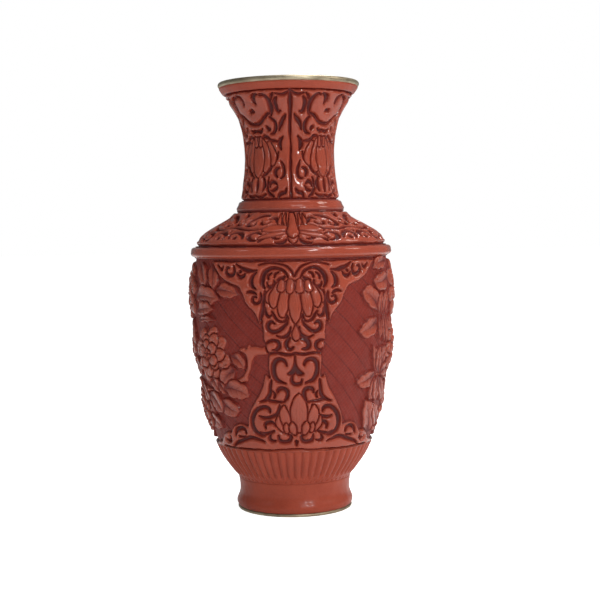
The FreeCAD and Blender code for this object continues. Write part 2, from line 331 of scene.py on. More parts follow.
STANDING_LOTUS = [
    [(8.8, 53.8, 1.4), (11.4, 57.6, 2.1), (12, 61, 1.1)],
    [(5.6, 54.6, 1.9), (8, 60.4, 2.9), (8.8, 65, 2.3), (8.8, 67.6, 1)],
    [(0, 55, 3), (0, 62, 5), (0, 68.2, 4.2), (0, 72.8, 2.1), (0, 75, 0.5)],
    [(7.2, 53.2, 1.4), (7.6, 55.8, 1.6), (7.8, 57.4, 0.8)],
    [(2.8, 52, 1.4), (3.9, 55, 2.2), (4.2, 57.6, 1)],
]
BUD = [(0, 114.6, 0.4), (0, 111.4, 1.8), (0, 108.2, 2), (0, 106.2, 0.5)]


def carve_strip(carving, x):
    """A lotus-scroll strip. x is counted from its middle line, about which it is mirrored."""
    half = np.abs(x)
    carving.edge = carving.plate(STRIP_OUTLINE, half)
    for channel in STRIP_CUTS.values():
        carving.cut(channel, half)
    for channel in ROW_CURLS:
        carving.cut(channel, x)
    flowers = [(petal, 0.4) for petal in HANGING_LOTUS]
    flowers += [(petal, 1.9) for petal in STANDING_LOTUS] + [(BUD, 0.6)]
    for petal, middle in flowers:
        half = np.abs(x - middle)
        root = petal[0][:2]
        reach = 1.3 * abs(petal[-1][1] - root[1]) + 0.1
        gap = 0.12 if len(petal) == 2 else 0.28
        carving.add(petal, half, gap, root, reach, drop=0.35)
        if len(petal) > 3:
            for shift in (-0.4, 0, 0.4):
                crease = [(px + shift * wide, py, 0.06) for px, py, wide in petal[:-1]]
                carving.engrave(crease, half)


# Half of the neck's repeat, from a strip's middle line to a lotus's. x is counted at NECK_WIDTH
# from the axis, whatever the neck's own radius is there.
NECK_WIDTH = 30.0
NECK_CUTS = {
    "middle": [(0, 247, 0.5), (0, 241, 0.8), (0, 232, 0.6), (0, 225, 0.5), (0, 219.6, 0.1), (0, 214, 0.4),
        (0, 207, 0.55), (0, 200, 0.45), (0, 193, 0.5), (0, 185, 0.6)],
    "top_leaf": [(0.6, 246.2, 0.3), (2.6, 244.7, 0.6), (4.8, 244.6, 0.45), (7, 245.3, 0.15)],
    "stalk_curl": [(6.7, 243.4, 0.25), (8, 241.2, 0.7), (7.9, 237.8, 0.9), (6.5, 235.2, 0.5),
        (5.4, 235.6, 0.2)],
    "stalk_slot": [(2.7, 233.9, 0.2), (4.2, 231.4, 0.75), (6, 228.4, 0.85), (7.2, 225.4, 0.25)],
    "beside_top": [(8, 245.4, 0.2), (9.2, 243.8, 0.5), (9.7, 241.8, 0.25)],
    "cloud_side": [(11.5, 233.8, 0.3), (10.7, 236.8, 1), (10.9, 240, 1.15), (12, 243, 0.9),
        (14.2, 244.7, 0.55), (15.8, 244.6, 0.2)],
    "cloud_notch": [(16.8, 245.2, 0.3), (18.9, 244.3, 0.9), (19.8, 242.3, 1.1), (19.2, 240.1, 0.35)],
    "cloud_dot": [(22.4, 236.1, 0.55), (23.56, 236.6, 0.8), (24.8, 236.1, 0.55)],
    "cloud_under": [(12.2, 234.8, 0.4), (14.6, 233.6, 0.6), (17, 231.8, 0.65), (20, 229.7, 0.65),
        (22.4, 229, 0.6), (23.8, 229, 0.6)],
    "side_curl": [(12.3, 232.7, 0.3), (9.9, 230.2, 0.75), (9.2, 226.8, 0.9), (10.6, 223.9, 0.7),
        (12.9, 223.2, 0.25)],
    "side_eye": [(13.8, 226, 0.9), (14.7, 227, 0.7), (15.6, 227.4, 0.2)],
    "under_cloud": [(18.6, 226.2, 0.3), (20.6, 224.8, 0.7), (22.6, 225.2, 0.5), (24, 225.2, 0.4)],
    "waist": [(8.4, 219.1, 0.25), (11, 219.2, 0.55), (14, 220, 0.6), (16.4, 222, 0.7), (18.4, 221.9, 0.55),
        (20.4, 220.8, 0.35), (22.2, 221.4, 0.45), (24, 221.5, 0.5)],
    "drop": [(5.1, 221.5, 0.3), (6.9, 219.4, 1), (7, 216.6, 1.1), (6.1, 214.4, 0.35)],
    "lotus_side": [(8.1, 212.8, 0.3), (9.4, 209.2, 0.75), (12.4, 205.6, 0.9), (15.2, 202.6, 0.9),
        (18.2, 200, 0.6), (20.4, 198.6, 0.2)],
    "low_stalk": [(6.3, 207.6, 0.25), (4.9, 204.4, 0.7), (4.3, 201, 0.75), (5.4, 198.2, 0.55),
        (7.2, 197.6, 0.2)],
    "low_eye": [(7.6, 203.8, 0.25), (9.6, 203.2, 0.8), (10.4, 201, 0.85), (9.2, 198.8, 0.35)],
    "fork": [(9.5, 194.4, 0.25), (11.3, 195.9, 0.75), (13.3, 195.2, 0.75), (13.6, 193, 0.25)],
    "fork_low": [(8.8, 193, 0.25), (10.3, 191.2, 0.7), (12.6, 190.7, 0.35)],
    "foot_curl": [(3.1, 191.8, 0.25), (4.1, 189.7, 0.8), (6.6, 189, 0.85), (7.7, 186.8, 0.4)],
    "ring_outer": [(19.2, 199.2, 0.3), (18, 196.6, 0.85), (17.9, 193.4, 0.95), (19, 190.8, 0.3)],
    "ring_inner": [(14.6, 198.4, 0.25), (15.4, 195.2, 0.6), (15.2, 191.6, 0.7), (13.4, 188.8, 0.75),
        (11, 187.2, 0.35)],
    "root": [(23.56, 197.4, 0.4), (23.56, 193.6, 1.2), (23.56, 190.4, 0.6)],
    "foot_arc": [(16, 188.6, 0.25), (18.2, 187.6, 0.6), (21, 187.3, 0.5), (23.56, 187.9, 0.4)],
}
NECK_LOTUS = [
    [(15, 218, 1.4), (12.6, 213, 2.3), (11.8, 208.4, 2.1), (12.3, 206.2, 1.2)],
    [(19.4, 219, 1.8), (17.6, 212, 3), (17, 206, 2.8), (17.7, 202.8, 1.5)],
    [(23.56, 219.2, 2.6), (23.56, 212, 4.6), (23.56, 205, 4.2), (23.56, 200.6, 2), (23.56, 198.8, 0.5)],
    [(21.6, 221.2, 1.1), (21.6, 217.4, 1.4)],
]


def carve_flowers(carving, x, channels, petals, reach):
    """Whole lacquer with channels cut in it and flowers laid over them."""
    carving.inside[:] = REACH
    for channel in channels.values():
        carving.cut(channel, x)
    for petal in petals:
        carving.add(petal, x, 0.3, petal[0][:2], reach, drop=0.3)


def carve_neck(carving, x):
    """The neck: lotuses that hang under clouds, and stalks between them."""
    carve_flowers(carving, x, NECK_CUTS, NECK_LOTUS, reach=16)
    for middle in (17.2, 20.4, 22.4):
        carving.engrave([(middle + 0.6, 216, 0.08), (middle, 204, 0.08)], x)
    carving.border(top=247.6, bottom=185.8, width=0.55)


# Half of the shoulder's repeat. x is counted at SHOULDER_WIDTH from the axis and y runs from the
# shoulder's outer edge in to the neck.
SHOULDER_WIDTH = 45.0
SHOULDER_CUTS = {
    "beside_flower": [(4.4, 31.2, 0.3), (4.9, 28.8, 1), (5.2, 25.6, 0.5), (5, 22, 0.2)],
    "inner_curl": [(9.9, 22.2, 0.3), (10.6, 25.6, 0.95), (13.2, 27.1, 0.95), (15.6, 25.6, 0.3)],
    "arch": [(16.4, 29, 0.3), (21.5, 28.6, 1.1), (26.6, 25.8, 1.25), (29.5, 21.8, 1.05),
        (27.2, 18.6, 0.95), (24.2, 18.8, 0.75), (23.8, 21.6, 0.25)],
    "small_hook": [(14.4, 23, 0.25), (16.4, 20.6, 0.8), (19, 20.6, 0.7), (20.2, 23, 0.3)],
    "far_top": [(33.4, 30.6, 0.3), (35.34, 28.6, 1.2), (37.2, 30.6, 0.3)],
    "far_low": [(32.4, 22.6, 0.25), (33.4, 20, 0.8), (35.34, 19.2, 0.8)],
    "far_eye": [(35.34, 24.8, 0.8), (35.34, 24.2, 0.8)],
    "waist": [(14.8, 17.4, 0.2), (17.4, 15.2, 0.75), (23, 14.2, 0.8), (29, 14.8, 0.75), (33, 16.4, 0.6),
        (35.34, 16.6, 0.5)],
    "low_hook": [(16, 9.6, 0.25), (19.6, 11, 0.85), (22.5, 8.4, 1.05), (21.2, 5.4, 0.85),
        (17.9, 4.7, 0.25)],
    "low_arch": [(25.2, 6.2, 0.3), (26.8, 10, 0.95), (30.8, 11.4, 1.05), (33.9, 9, 0.95), (33, 6, 0.35)],
    "low_far": [(35.34, 13, 0.5), (35.34, 11.4, 0.25)],
    "low_gap": [(13.2, 10, 0.35), (14.3, 6.8, 0.95), (16.4, 4, 0.4)],
    "tiny_curl": [(8.7, 8.9, 0.25), (9.6, 7, 0.65), (8.2, 5.6, 0.55), (6.6, 6, 0.2)],
    "tip_side": [(3.2, 5.6, 0.3), (4.7, 3.4, 0.85), (8, 2.8, 0.3)],
    "low_eye": [(29.6, 6.6, 0.9), (30.2, 6.4, 0.7)],
}
SHOULDER_FLOWER = [
    [(8, 30.6, 0.4), (8.3, 25.4, 1.3), (7.4, 20, 0.9)],
    [(5, 31, 0.5), (5.2, 26, 1.1), (4.4, 20, 0.6)],
    [(3, 11.6, 1.2), (8, 10.2, 2), (13, 8, 1.7), (16.6, 6, 0.4)],
    [(2.6, 16.4, 2), (7.4, 16.3, 3.7), (12, 15, 3.2), (15.2, 13.6, 1.4)],
    [(0, 7, 2.6), (0, 4.4, 1.8), (0, 2.6, 0.4)],
    [(0, 31.8, 1.5), (0, 24, 2.6), (0, 15, 2.9), (0, 9.6, 2.4), (0, 7.4, 1)],
]


def carve_shoulder(carving, x):
    """The shoulder: flowers between two rows of scrolls."""
    carve_flowers(carving, x, SHOULDER_CUTS, SHOULDER_FLOWER, reach=12)
    for side in (1.2, 2.6):
        carving.engrave([(side, 20, 0.1), (side * 1.2, 28, 0.1)], x)
    carving.border(top=32.9, bottom=1.0, width=0.75)


def leaf(base, tip, width, bend):
    """A pointed, lobed leaf as a stroke, bowed to the left by bend, a share of its length."""
    (ax, ay), (bx, by) = base, tip
    dx, dy = bx - ax, by - ay
    share = np.linspace(0, 1, 13)
    bow = bend * np.sin(math.pi * share)
    half = np.interp(share, [0, 0.15, 0.4, 0.68, 0.88, 1], [0.3, 0.75, 1, 0.82, 0.45, 0.08])
    half = width * half * (1 + 0.13 * np.cos(6 * math.pi * share))
    return np.stack([ax + dx * share - dy * bow, ay + dy * share + dx * bow, half], axis=1)


def carve_leaf(carving, x, base, tip, width, bend):
    """A leaf that rises from its base to its tip, with a rib and side veins."""
    blade = leaf(base, tip, width, bend)
    along = np.array(tip) - np.array(base)
    length = np.linalg.norm(along)
    along = along / length
    # Through the colour ramp the sunken root and the folded midrib get painted shade, and the raised tip
    # painted light.
    on = carving.add(blade, x, root=base, reach=length, drop=0.35)
    carving.mound[on] = np.maximum(carving.mound[on], 0.8)
    off_rib = (x[on] - base[0]) * along[1] - (carving.y[on] - base[1]) * along[0]
    off_rib += bend * length * 0.8
    carving.lift[on] -= 0.4 * np.clip(1 - np.abs(off_rib) / width, 0, 1)
    rib = blade[:-1].copy()
    rib[:, 2] = 0.14
    carving.engrave(rib, x)
    aside = np.array([-along[1], along[0]])
    for station in (2, 5, 8):
        root = blade[station, :2]
        for side in (1, -1):
            end = root + 0.62 * blade[station, 2] * (side * aside * 1.2 + along * 1.1)
            carving.engrave([(*root, 0.1), (*end, 0.06)], x)


def carve_peony(carving, x, middle, size, turn):
    """A peony in high relief: rings of ruffled petals laid over each other, and a seed head."""
    cx, cy = middle
    for ring, (reach, count) in enumerate(((1.0, 8), (0.74, 7), (0.48, 5))):
        for number in range(count):
            angle = turn + 2 * math.pi * (number + 0.5 * ring + 0.12 * math.sin(5 * number)) / count
            long = reach * size * (1 + 0.09 * math.sin(3 * number + 2 * ring))

            def spot(share, lean=0.0):
                way = angle + lean * 2 * math.pi / count
                return cx + share * long * math.cos(way), cy + share * long * math.sin(way)

            petal = [(*spot(share), swell * 2.1 * long / count) for share, swell in
                     ((0.3, 0.45), (0.6, 0.9), (0.84, 1.0), (0.92, 0.7))]
            carving.add(petal, x, 0.4, middle, reach=long, drop=0.5)
            for lean in (-0.3, -0.1, 0.1, 0.3):
                carving.engrave([(*spot(0.55, lean), 0.06), (*spot(0.98, lean), 0.14)], x)
    for number in range(6):
        angle = turn + number * math.pi / 3
        seed = (cx + 0.13 * size * math.cos(angle), cy + 0.13 * size * math.sin(angle))
        carving.add([(*seed, 0.075 * size), (seed[0] + 0.05, seed[1], 0.075 * size)], x, 0.3)
    gone = np.hypot(x - cx, carving.y - cy) / (1.05 * size)
    carving.mound = np.maximum(carving.mound, 2.2 * np.clip(1 - gone**2, 0, 1))


# A panel's work, in three parts: by the strip on its left, measured from that strip's middle
# line; by the strip on its right, measured from that one's (so below zero); and between them,
# measured from the panel's middle. Leaves are (base, tip, half width, bend) and peonies (middle,
# radius, turn).
LEFT_LEAVES = [
    ((71, 148.5), (54, 145), 4.1, -0.1), ((73, 140), (54.5, 138), 5.3, 0.12),
    ((57, 122.5), (43.5, 131.5), 5.5, -0.15), ((61.5, 118), (63.5, 131), 3.1, 0.08),
    ((67, 119), (71, 131), 3.4, 0.08), ((55.5, 115.5), (40.5, 109.5), 5, 0.15),
    ((60, 117), (60.5, 103.5), 2.5, 0.05), ((65.3, 119), (66.2, 102), 2.9, 0.04),
    ((70.5, 118), (71, 101), 2.8, -0.04), ((65.5, 88), (67, 99), 3.1, 0.05),
    ((56.5, 84), (53, 100), 3.4, -0.1), ((60.5, 84), (61, 99), 3.4, 0.1),
    ((64, 83), (78, 84), 4.1, 0.1), ((54, 83.5), (39, 80), 4.6, 0.12),
    ((56, 80), (50, 68.5), 4, 0.1), ((60, 80.5), (58, 67), 4.2, -0.06),
    ((64, 79), (72, 66), 4.1, -0.1), ((52, 47), (46.5, 67.5), 6.5, -0.12),
    ((68, 52), (57, 65), 4.8, 0.1),
]
RIGHT_LEAVES = [
    ((-54, 148.5), (-53.5, 134.8), 4.1, 0.06), ((-66, 148.5), (-61, 137), 4.6, -0.1),
    ((-49.5, 134.3), (-34, 131.5), 4, 0.06), ((-74, 129.5), (-48.5, 128.8), 5.8, 0.05),
    ((-72, 120.5), (-53.5, 122.6), 4, 0.1), ((-72, 116), (-53, 116.8), 2, 0.03),
    ((-39, 96.3), (-30.5, 89.5), 3.5, 0.15), ((-38, 87.5), (-46.5, 80.5), 4.8, -0.15),
    ((-58, 82.5), (-51, 75), 3.6, 0.1), ((-50, 80), (-44, 74), 2.6, 0),
    ((-43.5, 77.3), (-28, 73.3), 5.2, 0.1), ((-48, 68.8), (-35, 64), 4.8, -0.1),
    ((-61, 72), (-48.5, 62.3), 4.8, 0.08), ((-72, 78), (-61.5, 67), 4.3, -0.1),
    ((-66, 66), (-58.5, 58.8), 3.4, 0.1), ((-66, 56.5), (-51, 52.5), 4.3, 0.1),
]
# A forked twig that runs out from under the strip
TWIG = [
    (-15.3, 103.1), (-19, 101.8), (-23.2, 102.9), (-25.8, 102), (-26.4, 103.7), (-28.1, 102.7),
    (-28.8, 100.6), (-30.3, 102), (-32.2, 101.6), (-34.2, 100.6), (-32.3, 99.3), (-29.8, 98.3),
    (-28.4, 96), (-28.1, 93.5), (-28.6, 90.5), (-29.8, 87.8), (-31.7, 85.5), (-34.2, 83.6), (-37.6, 82.3),
    (-35.8, 80.8), (-31.6, 81.6), (-28.1, 82.3), (-28.5, 84.4), (-27.3, 87), (-26.1, 90), (-25.4, 93.5),
    (-24.5, 95.6), (-22.8, 97.4), (-20.3, 97.9), (-17.4, 97.9), (-15.3, 98),
]
RIGHT_PEONY = ((-58, 97), 15, 0.55)
MIDDLE_PEONIES = [((6, 61), 13, 0.3), ((-10, 97), 13, 0.9), ((0, 132), 16.5, 0.2)]
MIDDLE_STEMS = [
    [(44, 80, 1.3), (30, 74, 1.4), (14, 79, 1.4), (-6, 78, 1.4), (-24, 82, 1.4), (-36, 83.5, 1.3)],
    [(14, 79, 1.3), (10, 72, 1.3), (7, 66, 1.2)],
]
MIDDLE_LEAVES = [
    ((-14, 116), (-22, 107), 4.3, 0.1), ((10, 115), (14, 101), 4.6, -0.1),
    ((2, 116.5), (3, 105), 3.1, 0), ((8, 90), (20, 84), 4.3, 0.1), ((-6, 77), (-15, 66), 4.6, 0.1),
    ((-9, 56), (-22, 51), 4.6, 0.1), ((7, 49), (-8, 46.5), 3.6, 0.1), ((20, 72), (21, 60), 3.8, 0.1),
]


def carve_panel(carving, from_left, from_right):
    """A panel between two strips: peonies, leaves and twigs in high relief."""
    middle = carving.x
    carving.plate(TWIG, from_right)
    for stem in MIDDLE_STEMS:
        carving.add(stem, middle)
    for x, leaves in ((middle, MIDDLE_LEAVES), (from_left, LEFT_LEAVES),
                      (from_right, RIGHT_LEAVES)):
        for values in leaves:
            carve_leaf(carving, x, *values)
    carve_peony(carving, from_right, *RIGHT_PEONY)
    for values in MIDDLE_PEONIES:
        carve_peony(carving, middle, *values)


def lattice(x, y):
    """Diaper ground: fine crossed ridges, and diagonal lines cut down to the right, painted dark as shade
    by the colour ramp.
    """
    ridges = [np.clip(1 - 1.5 * np.abs(np.sin(1.1 * way)), 0, 1) for way in (x + y, x - y)]
    line = np.clip(1 - np.abs(np.sin(0.235 * (x + 1.12 * y))) / 0.13, 0, 1)
    return 0.14 + 0.07 * np.maximum(*ridges) - 0.14 * line


class Zone:
    """A lacquer zone between two arc lengths of an outline, as a grid right round the vase."""

    def __init__(self, outline, low, high, spacing=SPACING, columns=None):
        self.outline = outline
        around = 2 * math.pi * outline.r[(outline.s >= low) & (outline.s <= high)].max()
        columns = columns or 8 * round(around / spacing / 8)
        rows = round((high - low) / spacing) + 1
        turn = 2 * math.pi / columns * np.arange(columns)
        self.turn, self.s = np.meshgrid(turn, np.linspace(low, high, rows), indexing="ij")
        self.arc_radius = outline.radius(self.s)
        self.height = outline.height(self.s)

    def arc(self):
        """Distance round from the front strip's middle, from minus half the circle to plus."""
        turn = self.turn - FRONT
        return (turn - 2 * math.pi * (turn > math.pi)) * self.arc_radius

    def snap(self, inside):
        """Move grid points that are close to a cut edge onto it, so that edges are crisp."""
        step = self.s[0, 1] - self.s[0, 0]
        round_slope = (np.roll(inside, -1, 0) - np.roll(inside, 1, 0)) / (2 * self.turn[1, 0])
        round_slope /= self.arc_radius
        up_slope = np.gradient(inside, step, axis=1)
        steep = round_slope**2 + up_slope**2
        room = 0.45 * step
        close = (np.abs(inside) < room) & (steep > 0.3)
        close[:, [0, -1]] = False
        back = np.where(close, -inside / np.maximum(steep, 0.3), 0)
        self.turn = self.turn + np.clip(back * round_slope, -room, room) / self.arc_radius
        self.s = self.s + np.clip(back * up_slope, -room, room)
        return np.where(close, 0, inside)

    def surface(self, rise):
        """Points of the face that stands rise above the outline."""
        radius, height = self.outline.radius(self.s), self.outline.height(self.s)
        normal_r, normal_z = self.outline.normal(self.s)
        r, z = radius + rise * normal_r, height + rise * normal_z
        return np.stack([r * np.sin(self.turn), -r * np.cos(self.turn), z], axis=-1)


def grid_normals(points):
    """Vertex normals of a closed ring of points, facing out."""
    across = np.roll(points, -1, 0) - np.roll(points, 1, 0)
    up = np.gradient(points, axis=1)
    normals = np.cross(across, up)
    return normals / np.linalg.norm(normals, axis=-1, keepdims=True)


def grid_faces(grid, flip):
    """Quads of a grid of corner values, as one row of four for each."""
    a, b, c, d = grid[:-1, :-1], grid[1:, :-1], grid[1:, 1:], grid[:-1, 1:]
    order = (a, d, c, b) if flip else (a, b, c, d)
    return np.stack(order, axis=2).reshape(-1, 4, *grid.shape[2:])


def flat_patch(columns, rows, low, high):
    """Corner places of a grid laid out flat between two levels of the unit square."""
    across, up = np.meshgrid(np.linspace(0, 1, columns), np.linspace(low, high, rows),
                             indexing="ij")
    return np.stack([across, up], axis=-1)


BACK_ROWS = 14  # the plain back needs few points up it
# Places of a piece's faces in the flat square that materials are baked to: lowest and highest v
FACE_PLACE = (0.1, 1.0)
BACK_PLACE = (0.0, 0.06)
LOWER_PLACE = (0.065, 0.07)
UPPER_PLACE = (0.075, 0.08)
SIDE_PLACE = 0.088


def piece_faces(face, back, whole):
    """Corners of a closed piece's faces, their places in the flat square, and faces' sizes.

    face and back are grids of vertex numbers. A piece that isn't whole, right round the vase,
    gets a many-sided face at each side.
    """
    lower = np.stack([back[:, 0], face[:, 0]], axis=1)
    upper = np.stack([face[:, -1], back[:, -1]], axis=1)
    corners, places = [], []
    for grid, flip, (low, high) in ((face, False, FACE_PLACE), (back, True, BACK_PLACE),
                                    (lower, False, LOWER_PLACE), (upper, False, UPPER_PLACE)):
        corners.append(grid_faces(grid, flip).ravel())
        places.append(grid_faces(flat_patch(*grid.shape, low, high), flip).reshape(-1, 2))
    sizes = [4] * (sum(len(grid) for grid in corners) // 4)
    if not whole:
        for side in (np.concatenate([face[0], back[0][::-1]]),
                     np.concatenate([face[-1][::-1], back[-1]])):
            turn = np.linspace(0, 2 * math.pi, len(side), endpoint=False)
            oval = [0.5 + 0.4 * np.cos(turn), SIDE_PLACE + 0.003 * np.sin(turn)]
            corners.append(side)
            places.append(np.stack(oval, 1))
            sizes.append(len(side))
    return np.concatenate(corners), np.concatenate(places), sizes


def add_object(name, data):
    thing = bpy.data.objects.new(name, data)
    bpy.context.scene.collection.objects.link(thing)
    return thing


def fill_mesh(name, points, corners, places, sizes):
    """A smooth mesh from its points in millimetres and its faces."""
    mesh = bpy.data.meshes.new(name)
    mesh.vertices.add(len(points))
    mesh.vertices.foreach_set("co", (points * MM).ravel())
    mesh.loops.add(len(corners))
    mesh.loops.foreach_set("vertex_index", corners.astype(np.int32))
    mesh.polygons.add(len(sizes))
    starts = np.cumsum(sizes) - sizes
    mesh.polygons.foreach_set("loop_start", starts.astype(np.int32))
    mesh.update(calc_edges=True)
    mesh.polygons.foreach_set("use_smooth", np.ones(len(sizes), bool))
    unwrapped = mesh.uv_layers.new(name="OFBake")
    unwrapped.data.foreach_set("uv", places.astype(np.float32).ravel())
    return mesh


def make_piece(name, zone, points, relief, first, last):
    """A closed piece of lacquer between two grid columns: carved face, back, ends and sides."""
    columns, rows = relief.shape
    whole = last - first == columns
    pick = np.arange(first, last + (not whole)) % columns
    wide = len(pick)
    normals = grid_normals(points)[pick]
    back_rows = np.linspace(0, rows - 1, BACK_ROWS).round().astype(int)
    backing = zone.surface(np.full(relief.shape, -LACQUER))[pick][:, back_rows]
    face = np.arange(wide * rows).reshape(wide, rows)
    back = wide * rows + np.arange(wide * BACK_ROWS).reshape(wide, BACK_ROWS)
    if whole:
        face = np.vstack([face, face[:1]])
        back = np.vstack([back, back[:1]])
    all_points = np.concatenate([points[pick].reshape(-1, 3), backing.reshape(-1, 3)])
    mesh = fill_mesh(name, all_points, *piece_faces(face, back, whole))
    back_normals = -normals[:, back_rows]
    mesh.normals_split_custom_set_from_vertices(
        np.concatenate([normals.reshape(-1, 3), back_normals.reshape(-1, 3)])
    )
    height = mesh.attributes.new("relief", "FLOAT", "POINT")
    values = np.concatenate([relief[pick].ravel(), np.zeros(wide * BACK_ROWS)])
    height.data.foreach_set("value", values.astype(np.float32))
    return add_object(name, mesh)


def lay(zone, rise, relief, material, cuts):
    """Pieces of one zone. cuts holds (name, first and last share of the circle, nodes)."""
    points = zone.surface(rise)
    columns = relief.shape[0]
    for name, start, end, nodes in cuts:
        first, last = round(start * columns), round(end * columns)
        piece = make_piece(name, zone, points, relief, first, last)
        piece.data.materials.append(material)
        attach(piece, "root")
        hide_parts(*nodes)


def feed(tree, made, values):
    """Set a node's inputs, to numbers, colours or other nodes' outputs, and its settings."""
    for key, value in values.items():
        if isinstance(value, bpy.types.NodeSocket):
            tree.links.new(value, made.inputs[key])
        elif key in made.inputs:
            made.inputs[key].default_value = value
        else:
            setattr(made, key, value)
    return made


def node(tree, kind, **values):
    return feed(tree, tree.nodes.new("ShaderNode" + kind), values)


def shader(name):
    material = bpy.data.materials.new(name)
    material.use_nodes = True
    tree = material.node_tree
    tree.nodes.clear()
    output = node(tree, "OutputMaterial")
    surface = node(tree, "BsdfPrincipled")
    feed(tree, output, {"Surface": surface.outputs["BSDF"]})
    return material, tree, surface


def ramp(tree, factor, stops):
    """Colours at places along a factor, each of them three numbers, or one for a grey."""
    made = node(tree, "ValToRGB", Fac=factor)
    band = made.color_ramp
    while len(band.elements) < len(stops):
        band.elements.new(0.5)
    for element, (place, colour) in zip(band.elements, stops):
        element.position = place
        element.color = (*np.broadcast_to(colour, 3), 1)
    return made.outputs["Color"]


def noise(tree, scale, detail=3.0):
    where = node(tree, "TexCoord").outputs["Object"]
    return node(tree, "TexNoise", Scale=scale, Detail=detail, Vector=where).outputs["Fac"]


def multiply(tree, share, first, second):
    made = node(tree, "MixRGB", blend_type="MULTIPLY", Fac=share, Color1=first, Color2=second)
    return made.outputs["Color"]


def roughen(tree, surface, scale, detail, strength, distance):
    """Fine unevenness of a surface."""
    height = noise(tree, scale, detail)
    bump = node(tree, "Bump", Strength=strength, Distance=distance, Height=height)
    feed(tree, surface, {"Normal": bump.outputs["Normal"]})


def lacquer_material(name, polish, gloss):
    """Cinnabar-red lacquer, faintly mottled: smoothest on top and dull in the cuts. Its colour follows the
    relief, with painted shade dark in the cuts and painted light on the tops.

    polish is the roughness on top and gloss the weight of the clear shine over it.
    """
    material, tree, surface = shader(name)
    height = node(tree, "Attribute", attribute_name="relief").outputs["Fac"]
    # Colour by relief is painted light and shade: darkest on cut floors, a painted shadow ring at the foot
    # of raised work (the dip at 0.3), lightest on the highest tops.
    colour = ramp(tree, height, [(0.0, (0.085, 0.006, 0.006)), (0.13, (0.195, 0.015, 0.0075)),
                                 (0.21, (0.25, 0.02, 0.009)), (0.3, (0.13, 0.01, 0.008)),
                                 (0.42, (0.26, 0.032, 0.016)), (0.6, (0.365, 0.064, 0.034)),
                                 (0.75, (0.395, 0.073, 0.04))])
    cloud = ramp(tree, noise(tree, 70.0), [(0.3, (0.8, 0.72, 0.7)), (0.7, (1.0, 1.0, 1.0))])
    colour = multiply(tree, 0.6, colour, cloud)
    grain = ramp(tree, noise(tree, 900.0), [(0.35, 0.86), (0.6, 1.0)])
    colour = multiply(tree, 0.5, colour, grain)
    dull = ramp(tree, height, [(0.2, 0.85), (0.5, 0.5), (0.8, polish)])
    smear = ramp(tree, noise(tree, 260.0), [(0.3, 0.75), (0.75, 1.0)])
    feed(tree, surface, {"Base Color": colour, "Roughness": multiply(tree, 1.0, dull, smear),
                         "Specular IOR Level": 0.15 + 0.8 * gloss, "Coat Weight": gloss,
                         "Coat Roughness": 0.08})
    roughen(tree, surface, 700.0, 4.0, 0.3, 0.00015)
    return material


def metal_material(name, bright, dull, roughness):
    """Worn metal, with tarnish in patches and fine scratches."""
    material, tree, surface = shader(name)
    patch = ramp(tree, noise(tree, 120.0, 5.0), [(0.35, dull), (0.62, bright)])
    fleck = ramp(tree, noise(tree, 1500.0), [(0.3, 0.8), (0.6, 1.0)])
    worn = ramp(tree, noise(tree, 400.0), [(0.3, roughness), (0.8, roughness + 0.2)])
    feed(tree, surface, {"Base Color": multiply(tree, 0.6, patch, fleck), "Metallic": 1.0,
                         "Roughness": worn})
    roughen(tree, surface, 1100.0, 4.0, 0.2, 0.0001)
    return material


def enamel_material():
    """Deep blue glassy enamel, slightly cloudy and with a faint orange-peel surface."""
    material, tree, surface = shader("enamel")
    cloud = ramp(tree, noise(tree, 60.0, 5.0), [(0.3, (0.004, 0.05, 0.16)),
                                                (0.7, (0.012, 0.11, 0.27))])
    sheen = ramp(tree, noise(tree, 300.0), [(0.3, 0.1), (0.8, 0.24)])
    feed(tree, surface, {"Base Color": cloud, "Roughness": sheen})
    roughen(tree, surface, 260.0, 2.0, 0.15, 0.0002)
    return material


def relief_height(inside):
    """Share of the full relief at a distance inside a cut edge: narrow cuts stay shallower."""
    floor = FLOOR * (1 - dome(-inside / 1.1))
    return floor + (0.75 - FLOOR) * dome(inside / 1.3) + 0.25 * dome(inside / 3.4)


def standing(carving):
    """Share of the full relief over the whole carving."""
    height = relief_height(carving.inside)
    return np.clip(height * (1 + carving.lift) - 0.15 * carving.vein * (height > 0.5), 0, 1)


def folded(turn):
    """Angle from the nearest of four lines round the vase, the first at the front."""
    return np.abs((turn + math.pi / 4) % (math.pi / 2) - math.pi / 4)


